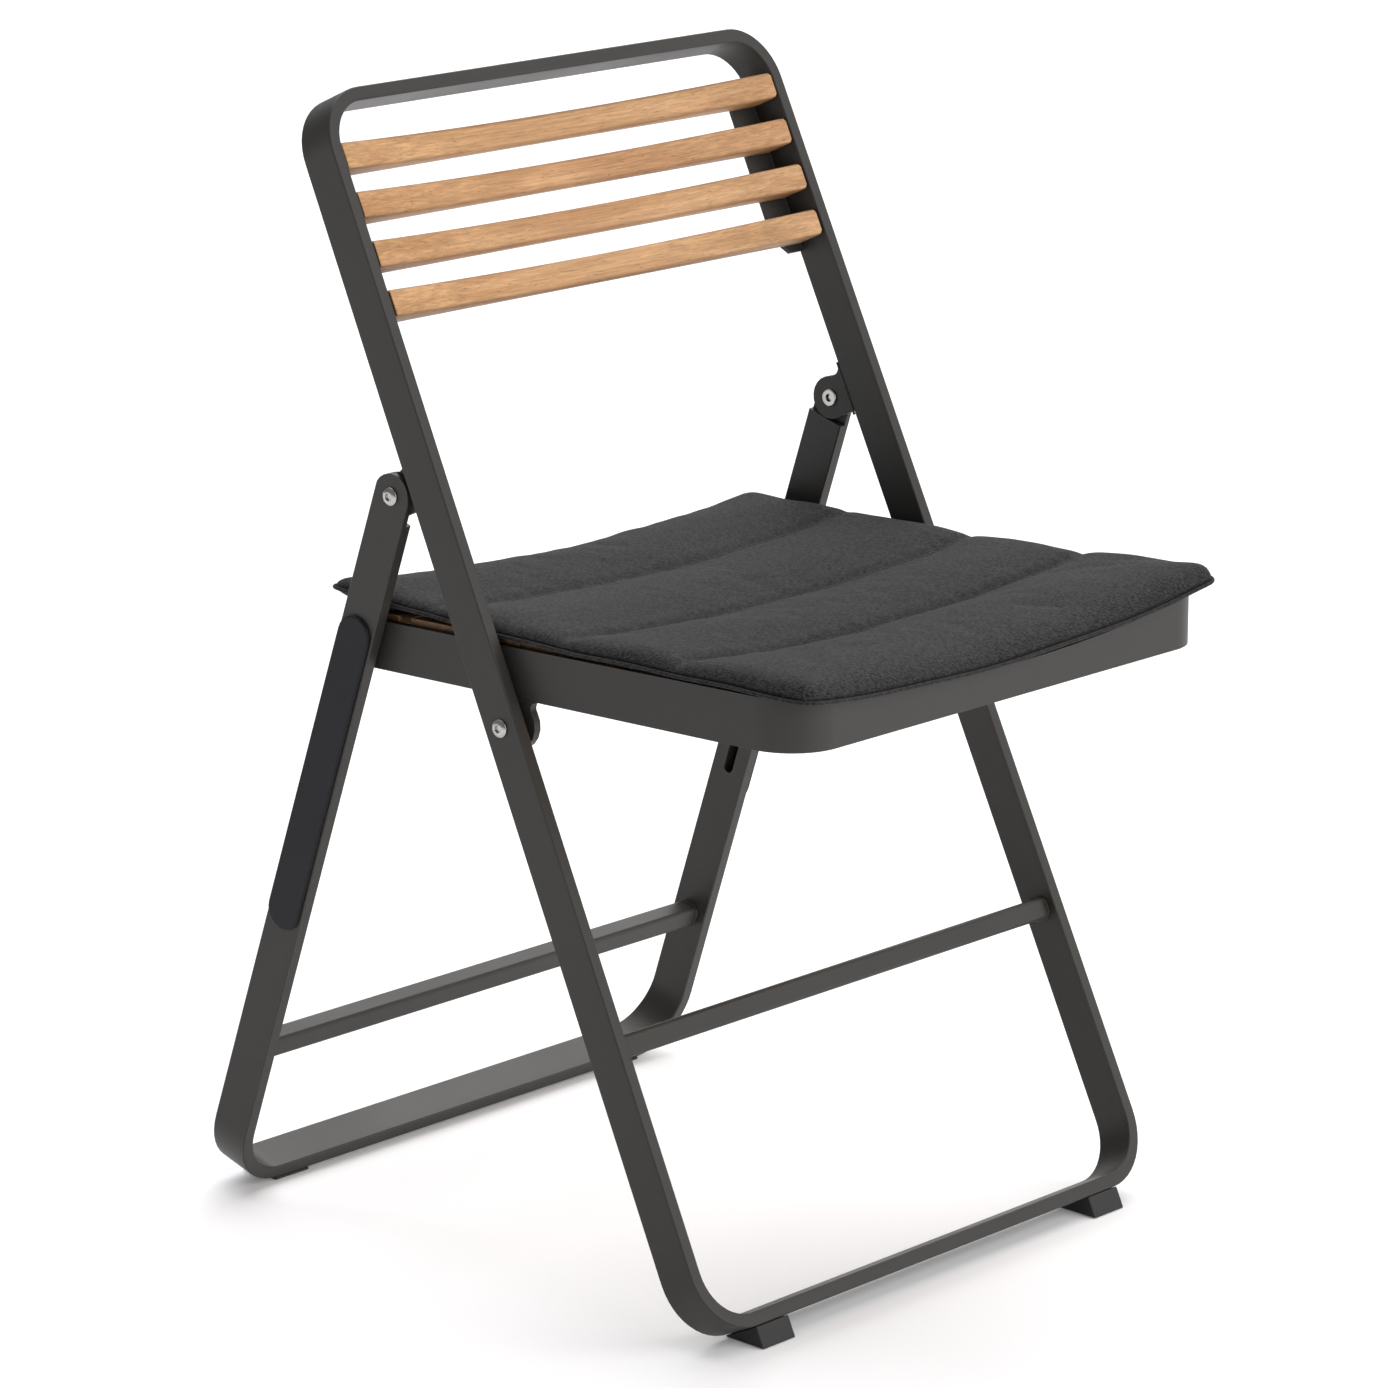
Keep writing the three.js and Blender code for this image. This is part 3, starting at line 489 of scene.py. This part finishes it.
rubber = worn_finish(
    "foot_rubber", dark=(0.0055, 0.0055, 0.0058), light=(0.0095, 0.0095, 0.0100),
    worn=(0.028, 0.028, 0.030), roughness=0.62, fine_scale=700, peel=0.00012, wear=0.0010,
)
for name in [*both("front_foot"), *both("rear_foot")]:
    dress(name, rubber, 0.0009, 3)


# Rear frame and its stretcher
# Flat bar bent to a U, half-lapped at its upper ends and slotted, in the same coating.

rear_lean = radians(16.24)
rear_up = Vector((0, -sin(rear_lean), cos(rear_lean)))
rear_forward = Vector((0, -cos(rear_lean), -sin(rear_lean)))
for name in ("rear_frame", "rear_stretcher"):
    dress(name, coating)
weld_stretcher("rear_stretcher", "rear", rear_up, rear_forward)


# Slot covers
# Long blue-black plastic pads with full round ends and soft edges, pressed over the slots outside.

cover_plastic = worn_finish(
    "cover_plastic", dark=(0.0030, 0.0035, 0.0056), light=(0.0044, 0.0052, 0.0078),
    worn=(0.050, 0.052, 0.058), roughness=0.42, fine_scale=1100, peel=0.00007, wear=0.0016,
    Specular_IOR_Level=0.22,
)
for name in both("slot_cover"):
    dress(name, cover_plastic, 0.0003, 2)


# Pivots
# Low domed stainless socket heads outside, flanged stainless barrels inside, and a plastic spacer
# between each leg and the ear of the seat.

nylon = worn_finish(
    "black_nylon", dark=(0.0085, 0.0085, 0.0088), light=(0.0130, 0.0130, 0.0134),
    worn=(0.03, 0.03, 0.032), roughness=0.45, fine_scale=900, peel=0.00005, wear=0.0008,
)
for stem in ("hinge_screw", "hinge_barrel", "seat_pivot_screw", "seat_pivot_barrel", "slot_pin"):
    for name in both(stem):
        dress(name, steel, 0.00025, 2, 30)
for stem in ("seat_pivot_spacer", "slot_guide"):
    for name in both(stem):
        dress(name, nylon, 0.0003, 2, 50)


# Seat frame
# A U of thinner flat bar with a dipped front edge, an ear welded under each rail, a crossbar at the
# back and two ledges for the slats.

for name in ["seat_frame", *both("seat_lug"), "seat_crossbar", *both("slat_ledge")]:
    dress(name, coating)

seat_tilt = radians(2.12)
seat_back = Vector((0, cos(seat_tilt), -sin(seat_tilt)))
seat_up = Vector((0, sin(seat_tilt), cos(seat_tilt)))
for side, sign in zip(SIDES, (1, -1)):
    low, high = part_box(f"seat_lug_{side}")
    for label, x in (("inner", min(abs(low.x), abs(high.x))), ("outer", max(abs(low.x), abs(high.x)))):
        start = Vector((x * sign, low.y, high.z))
        end = start + seat_back * ((high.y - low.y) / cos(seat_tilt))
        seam = tube(f"seat_lug_weld_{label}_{side}", stepped(start, end), bead * 0.5, ripple=0.1)
        fit(seam, coating, "seat")


# Seat slats and their screws
# Eight bowed slats laid across the ledges, screwed up through them from below.

for number in range(1, 9):
    tone = 0.2 + 0.15 * (number % 3)
    # The seat slats' forward faces get the wood's painted shade.
    dress(f"seat_slat_{number}", slat_wood(f"seat_wood_{number}", number + 4, tone, seat_back), 0.0006, 2)

slat_screw_head = 0.0032


def screw_head(mesh, centre, up, radius):
    """A low domed head that faces down, added to a mesh under construction."""
    sides = 14
    other = Vector((1, 0, 0))
    third = up.cross(other)
    rings = []
    for drop, share in ((0, 1), (0.35, 0.97), (0.6, 0.78), (0.72, 0.42)):
        ring = []
        for side in range(sides):
            angle = 2 * pi * side / sides
            reach = (other * cos(angle) + third * sin(angle)) * radius * share
            ring.append(mesh.verts.new(centre + reach - up * radius * drop))
        rings.append(ring)
    skin(mesh, rings)
    mesh.faces.new(rings[0])
    mesh.faces.new(list(reversed(rings[-1])))


heads = bmesh.new()
for number in range(1, 9):
    slat_low, slat_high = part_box(f"seat_slat_{number}")
    middle_y = (slat_low.y + slat_high.y) / 2
    for side in SIDES:
        ledge_low, ledge_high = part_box(f"slat_ledge_{side}")
        if ledge_low.y < middle_y < ledge_high.y:
            under = ledge_low.z + (ledge_high.y - middle_y) * tan(seat_tilt)
            centre = Vector(((ledge_low.x + ledge_high.x) / 2, middle_y, under))
            screw_head(heads, centre, seat_up, slat_screw_head)
bmesh.ops.recalc_face_normals(heads, faces=heads.faces)
fit(new_piece("seat_slat_screws", heads), steel, "seat")


# Seat pad
# Two layers of dark melange outdoor cloth over foam, sewn through in three lines across the seat and
# closed by a piped seam all round. It lies in the hollow of the slats and swells between the seams.

rail_low, rail_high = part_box("seat_frame")
rail_depth = 0.0366
seat_front = Vector((0, rail_low.y, rail_high.z)) - seat_up * rail_depth
pad_half_width = 0.2272
pad_front = -0.0070
pad_rear = 0.4300
pad_half_length = (pad_rear - pad_front) / 2
pad_corner = 0.015
pad_step = 0.0038
seam_places = (0.1095, 0.2125, 0.3290)
slat_half_length = 0.2197
slat_rise = 0.0390
slat_dip = 0.0130
slat_clearance = 0.0009
edge_at_front, lift_at_front = 0.0292, 0.0135  # the piped edge: its middle, and its corners above that
edge_at_rear, lift_at_rear = 0.0365, 0.0118
edge_sag = 0.0030
edge_skew = 0.0032
shoulder = 0.022  # from the outline to full thickness
pad_swell_front = 0.0148
pad_swell_rear = 0.0075


def pad_seam_height(x, back):
    """Height of the piped edge above the rails' lower edge: dipped in the middle, lifted behind."""
    side = min(abs(x) / pad_half_width, 1)
    along = min(max((back - pad_front) / (pad_rear - pad_front), 0), 1)
    front = edge_at_front + lift_at_front * side**2.2
    rear = edge_at_rear + lift_at_rear * side**2
    settled = along**2.2
    wave = 0.0006 * sin(23 * back + 5 * x) + 0.0004 * sin(71 * back + 40 * x)
    askew = edge_skew * x / pad_half_width * (1 - 2 * along)
    return front + (rear - front) * settled - edge_sag * side**4 * sin(pi * along) + askew + wave


def pad_under_height(x):
    """Height of the slats' upper face, which the pad lies on."""
    return slat_rise - slat_dip * (1 - (abs(x) / slat_half_length) ** 2) + slat_clearance


def inside_distance(x, back):
    """Distance from the pad's rounded outline, inwards."""
    gap_x = abs(x) - (pad_half_width - pad_corner)
    gap_y = abs(back - pad_front - pad_half_length) - (pad_half_length - pad_corner)
    outside = Vector((max(gap_x, 0), max(gap_y, 0))).length + min(max(gap_x, gap_y), 0)
    return max(pad_corner - outside, 0)


def rounded_place(x, back):
    """Moves a point of a square-cornered grid to the same place in the rounded outline."""
    middle = pad_front + pad_half_length
    over_x = (abs(x) - (pad_half_width - pad_corner)) / pad_corner
    over_y = (abs(back - middle) - (pad_half_length - pad_corner)) / pad_corner
    if over_x <= 0 or over_y <= 0:
        return x, back
    new_x = over_x * (1 - over_y**2 / 2) ** 0.5
    new_y = over_y * (1 - over_x**2 / 2) ** 0.5
    sign_x = 1 if x > 0 else -1
    sign_y = 1 if back > middle else -1
    return (
        sign_x * (pad_half_width - pad_corner + new_x * pad_corner),
        middle + sign_y * (pad_half_length - pad_corner + new_y * pad_corner),
    )


def seam_offset(x, number):
    """A sewn line is never quite straight."""
    return 0.0012 * sin(17 * x + 2.1 * number) + 0.0006 * sin(61 * x + number)


def swell_share(x, back):
    """How full the pad is: nothing at the outline, pulled in along each sewn line."""
    edge = min(inside_distance(x, back) / shoulder, 1)
    full = (1 - (1 - edge) ** 2.4) ** 0.52
    toward_side = min(max((pad_half_width - abs(x)) / 0.05, 0), 1)
    for number, seam in enumerate(seam_places):
        away = abs(back - seam - seam_offset(x, number))
        valley = 0.30 * np.exp(-(away / 0.020) ** 1.6) + 0.42 * np.exp(-(away / 0.0048) ** 1.5)
        full *= 1 - valley * (0.45 + 0.55 * toward_side)
    return full


def pucker(x, back):
    """Small gathers of the cloth beside each sewn line, and the unevenness of its filling."""
    lift = 0
    for number, seam in enumerate(seam_places):
        away = abs(back - seam - seam_offset(x, number))
        gather = sin(430 * x + 3 * number) + 0.7 * sin(193 * x + 1.3 * number)
        lift += 0.00060 * gather * np.exp(-(away / 0.012) ** 2) * min(away / 0.004, 1)
    lift += 0.0010 * noise.noise(Vector((x * 17, back * 21, 0.4)))
    return lift + 0.0006 * noise.noise(Vector((x * 55, back * 48, 7.3)))


def seat_point(x, back, height):
    return Vector((x, 0, 0)) + seat_front + seat_back * back + seat_up * height


columns = round(2 * pad_half_width / pad_step)
rows = round((pad_rear - pad_front) / pad_step)


def grid_place(row, column):
    """A point of the square-cornered grid that the pad is made from."""
    x = -pad_half_width + 2 * pad_half_width * column / columns
    return x, pad_front + (pad_rear - pad_front) * row / rows


pad_mesh = bmesh.new()
upper, lower, held = {}, {}, set()
for row in range(rows + 1):
    for column in range(columns + 1):
        x, back = rounded_place(*grid_place(row, column))
        edge_height = pad_seam_height(x, back)
        at_edge = row in (0, rows) or column in (0, columns)
        full = 0 if at_edge else swell_share(x, back)
        swell = pad_swell_front + (pad_swell_rear - pad_swell_front) * (row / rows) ** 0.8
        gather = pucker(x, back) * min(full, 1)
        top = pad_mesh.verts.new(seat_point(x, back, edge_height + swell * full + gather))
        upper[row, column] = top
        if at_edge:
            lower[row, column] = top
            continue
        settle = min(inside_distance(x, back) / 0.02, 1) ** 0.7
        under = edge_height + (pad_under_height(x) - edge_height) * settle
        lower[row, column] = pad_mesh.verts.new(seat_point(x, back, under))
for row in range(rows):
    for column in range(columns):
        square = [(row, column), (row, column + 1), (row + 1, column + 1), (row + 1, column)]
        pad_mesh.faces.new([upper[key] for key in square])
        pad_mesh.faces.new([lower[key] for key in reversed(square)])
bmesh.ops.recalc_face_normals(pad_mesh, faces=pad_mesh.faces)
pad_mesh.verts.index_update()
for vertex in lower.values():
    held.add(vertex.index)
for (row, column), vertex in upper.items():
    flat_x, back = grid_place(row, column)
    for number, seam in enumerate(seam_places):
        if abs(back - seam - seam_offset(flat_x, number)) < pad_step * 0.55:
            held.add(vertex.index)
pad = new_piece("quilted_pad", pad_mesh)
pad_data = pad.data

swell_frames = 20
swell_limit = 0.0045
# The cloth swells from inside while its seams and its underside hold.
pins = pad.vertex_groups.new(name="held")
pins.add(sorted(held), 1.0, "REPLACE")
before = np.array([vertex.co[:] for vertex in pad_data.vertices])
cloth = pad.modifiers.new("swell", "CLOTH")
cloth.settings.quality = 6
cloth.settings.mass = 0.2
cloth.settings.tension_stiffness = 8
cloth.settings.compression_stiffness = 8
cloth.settings.shear_stiffness = 5
cloth.settings.bending_stiffness = 4
cloth.settings.use_pressure = True
cloth.settings.uniform_pressure_force = 3
cloth.settings.vertex_group_mass = "held"
cloth.settings.effector_weights.gravity = 0
cloth.collision_settings.use_collision = False
cloth.collision_settings.use_self_collision = False
cloth.point_cache.frame_end = swell_frames
for number in range(1, swell_frames + 1):
    scene.frame_set(number)
swollen = pad.evaluated_get(bpy.context.evaluated_depsgraph_get()).to_mesh()
after = np.array([vertex.co[:] for vertex in swollen.vertices])
pad.modifiers.remove(cloth)
pad.vertex_groups.remove(pins)
scene.frame_set(1)
move = after - before
length = np.linalg.norm(move, axis=1, keepdims=True)
capped = move * np.minimum(1, swell_limit / np.maximum(length, 1e-9))
pad_data.vertices.foreach_set("co", (before + capped).ravel())
pad_data.update()
smooth = pad.modifiers.new("fine_cloth", "SUBSURF")
smooth.levels = smooth.render_levels = 1
pad_data.shade_smooth()

melange, group_in, group_out = new_group(
    "melange_weave",
    [("Thread", "Float", 0.0013)],
    [("Shade", "Float"), ("Height", "Float")],
)
place = add(melange, "ShaderNodeTexCoord")
parts = add(melange, "ShaderNodeSeparateXYZ")
melange.links.new(place.outputs["Object"], parts.inputs[0])
drop = maths(melange, "MULTIPLY", parts.outputs["Z"], 0.8)
warp_way = maths(melange, "ADD", parts.outputs["X"], drop)
weft_way = maths(melange, "ADD", parts.outputs["Y"], drop)
waves = []
for way in (warp_way, weft_way):
    turns = maths(melange, "DIVIDE", maths(melange, "MULTIPLY", way, 2 * pi), group_in.outputs["Thread"])
    waves.append(maths(melange, "SINE", turns))
weave = maths(melange, "MULTIPLY", waves[0], waves[1])
slubs = []
for lengthwise, crosswise in ((240, 1000), (1000, 240)):
    flat = add(melange, "ShaderNodeCombineXYZ")
    melange.links.new(maths(melange, "MULTIPLY", warp_way, lengthwise), flat.inputs[0])
    melange.links.new(maths(melange, "MULTIPLY", weft_way, crosswise), flat.inputs[1])
    streaks = add(melange, "ShaderNodeTexNoise", i_Scale=1.0, i_Detail=3.0)
    melange.links.new(flat.outputs[0], streaks.inputs["Vector"])
    slubs.append(streaks.outputs["Fac"])
tangle = add(melange, "ShaderNodeTexNoise", i_Scale=620.0, i_Detail=4.0, i_Roughness=0.7)
melange.links.new(place.outputs["Object"], tangle.inputs["Vector"])
mixed = maths(melange, "ADD", slubs[0], slubs[1])
mixed = maths(melange, "ADD", mixed, tangle.outputs["Fac"])
melange.links.new(spread(melange, mixed, 1.34, 1.66, 0.0, 1.0), group_out.inputs["Shade"])
height = maths(melange, "ADD", maths(melange, "MULTIPLY", weave, 0.3), mixed)
melange.links.new(height, group_out.inputs["Height"])


def pad_cloth(name, dark, light, thread):
    """Charcoal cloth of dark and pale fibres, faded in places, with painted shade darkening it down in
    the seams.
    """
    material, tree, shader = start_material(
        name, Roughness=0.92, Sheen_Weight=0.06, Sheen_Roughness=0.5, Specular_IOR_Level=0.25
    )
    weave_node = place_group(tree, melange, Thread=thread)
    grains = place_group(tree, surface_noise, Broad_Scale=14, Fine_Scale=160)
    colour = mix_colour(tree, weave_node.outputs["Shade"], (*dark, 1), (*light, 1))
    faded = spread(tree, grains.outputs["Broad"], 0.35, 0.7, 0.0, 0.15)
    colour = mix_colour(tree, faded, colour, (*light, 1))
    # Painted shade: ambient occlusion darkens the colour in the seams and hollows, where shadow falls.
    hollows = add(tree, "ShaderNodeAmbientOcclusion", i_Distance=0.014, samples=8)
    painted_seam_shade = spread(tree, hollows.outputs["AO"], 0.95, 0.55, 0.0, 0.75)
    colour = mix_colour(tree, painted_seam_shade, colour, (dark[0] * 0.6, dark[1] * 0.6, dark[2] * 0.6, 1))
    tree.links.new(colour, shader.inputs["Base Color"])
    tree.links.new(spread(tree, grains.outputs["Fine"], 0.3, 0.7, 0.86, 0.98), shader.inputs["Roughness"])
    bump(tree, shader, weave_node.outputs["Height"], 0.00018)
    return material


cloth_finish = pad_cloth("melange_cloth", (0.0026, 0.0026, 0.0029), (0.036, 0.036, 0.0385), 0.0013)
piping_finish = pad_cloth("piping_cloth", (0.0040, 0.0040, 0.0044), (0.030, 0.030, 0.032), 0.0010)

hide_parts("seat_pad")
fit(pad, cloth_finish, "seat")


# Piping and stitching of the pad
# A corded edge sewn into the outer seam, and a row of stitches along each sewn line.

piping_radius = 0.0014


def outline_points(count_per_side):
    """The pad's outline at its seam, once round."""
    points = []
    for side in range(4):
        for index in range(count_per_side):
            share = -1 + 2 * index / count_per_side
            flat = [(share, -1), (1, share), (-share, 1), (-1, -share)][side]
            x = pad_half_width * flat[0]
            back = (pad_front + pad_rear) / 2 + pad_half_length * flat[1]
            x, back = rounded_place(x, back)
            points.append(seat_point(x, back, pad_seam_height(x, back)))
    return points


piping = tube("pad_piping", outline_points(110), piping_radius, closed=True, sides=10)
fit(piping, piping_finish, "seat")

thread, tree, shader = start_material("sewing_thread", Roughness=0.7)
grains = place_group(tree, surface_noise, Broad_Scale=200, Fine_Scale=3000)
colour = mix_colour(tree, grains.outputs["Fine"], (0.010, 0.010, 0.011, 1), (0.045, 0.045, 0.047, 1))
tree.links.new(colour, shader.inputs["Base Color"])
bump(tree, shader, grains.outputs["Fine"], 0.0001)

stitch_length = 0.0042
stitch_gap = 0.0018
stitch_radius = 0.00045
stitch_sides = 6
stitch_margin = 0.012
above_pad = 0.09
pad.data.update()
bpy.context.view_layer.update()
surface = pad.evaluated_get(bpy.context.evaluated_depsgraph_get())
stitches = bmesh.new()
for number, seam in enumerate(seam_places):
    x = -pad_half_width + stitch_margin
    while x < pad_half_width - stitch_margin:
        ends = []
        for offset in (0, stitch_length):
            back = seam + seam_offset(x + offset, number)
            start = seat_point(x + offset, back, above_pad)
            hit, where = surface.ray_cast(start, -seat_up)[:2]
            if hit:
                ends.append(where)
        if len(ends) == 2:
            way = (ends[1] - ends[0]).normalized()
            side_way = way.cross(seat_up).normalized()
            rings = []
            for share, size in ((0, 0.35), (0.2, 1), (0.8, 1), (1, 0.35)):
                middle = ends[0].lerp(ends[1], share) + seat_up * 0.0001
                ring = []
                for step in range(stitch_sides):
                    angle = 2 * pi * step / stitch_sides
                    reach = side_way * cos(angle) + seat_up * sin(angle)
                    ring.append(stitches.verts.new(middle + reach * stitch_radius * size))
                rings.append(ring)
            skin(stitches, rings)
            stitches.faces.new(list(reversed(rings[0])))
            stitches.faces.new(rings[-1])
        x += stitch_length + stitch_gap
bmesh.ops.recalc_face_normals(stitches, faces=stitches.faces)
fit(new_piece("pad_stitches", stitches), thread, "seat")


# Floor and light
# A plain white, faintly lit studio floor without an end, a wide soft light from the front, a wider
# one from above, and a pale, slightly cool room all round.

floor_half = 40
floor_drop = 0.0004  # keeps the floor's face clear of the feet's
floor_data = bpy.data.meshes.new("floor")
floor_data.from_pydata(
    [(-floor_half, -floor_half, 0), (floor_half, -floor_half, 0),
     (floor_half, floor_half, 0), (-floor_half, floor_half, 0)],
    [], [(0, 1, 2, 3)],
)
floor = bpy.data.objects.new("floor", floor_data)
floor.location.z = -floor_drop
scene.collection.objects.link(floor)
floor_paint, tree, shader = start_material(
    "floor_paint", Roughness=0.8, Specular_IOR_Level=0.1,
    Emission_Color=(0.96, 0.96, 1.0, 1), Emission_Strength=0.10,
)
grains = place_group(tree, surface_noise, Broad_Scale=2, Fine_Scale=300)
colour = mix_colour(tree, grains.outputs["Broad"], (0.92, 0.92, 0.93, 1), (0.94, 0.94, 0.945, 1))
tree.links.new(colour, shader.inputs["Base Color"])
floor.data.materials.append(floor_paint)

room = bpy.data.worlds.new("room")
room.use_nodes = True
room.node_tree.nodes["Background"].inputs["Color"].default_value = (0.94, 0.95, 1.0, 1)
room.node_tree.nodes["Background"].inputs["Strength"].default_value = 0.26
scene.world = room


def soft_sun(name, direction, strength, softness, colour):
    lamp = bpy.data.lights.new(name, "SUN")
    lamp.energy = strength
    lamp.angle = radians(softness)
    lamp.color = colour
    holder = bpy.data.objects.new(name, lamp)
    holder.rotation_euler = (-Vector(direction)).to_track_quat("-Z", "Y").to_euler()
    scene.collection.objects.link(holder)


soft_sun("front_light", (0.30, -1.0, 0.38), 2.60, 70, (1.0, 0.985, 0.965))
soft_sun("top_light", (0.45, 0.45, 0.95), 3.10, 75, (1.0, 0.99, 0.985))
